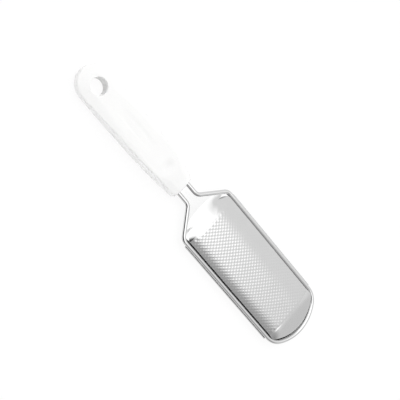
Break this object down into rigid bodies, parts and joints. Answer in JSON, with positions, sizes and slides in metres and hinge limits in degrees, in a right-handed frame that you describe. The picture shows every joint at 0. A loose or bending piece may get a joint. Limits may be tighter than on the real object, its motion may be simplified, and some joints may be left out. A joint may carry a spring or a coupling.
{
  "type": "foot file",
  "caption": "Foot file: a domed steel rasp plate folded round a bent wire rim, on a flat white plastic handle with a hanging hole",
  "frame": {"origin": "under the middle of the whole length and width, on the plane that the handle's flat back rests on", "axes": "+X from the round end of the handle to the tip of the rim, +Y across the plate, +Z out of the toothed face"},
  "size_m": [0.26, 0.056, 0.0127],
  "materials": {
    "handle_plastic": "glossy white injection-moulded ABS",
    "rim_wire": "polished stainless steel wire",
    "rasp_sheet": "bright pressed stainless steel sheet"
  },
  "bodies": {
    "root": {"handle_front": "handle_plastic", "handle_back": "handle_plastic", "wire_frame": "rim_wire", "rasp_plate": "rasp_sheet"}
  },
  "joints": []
}
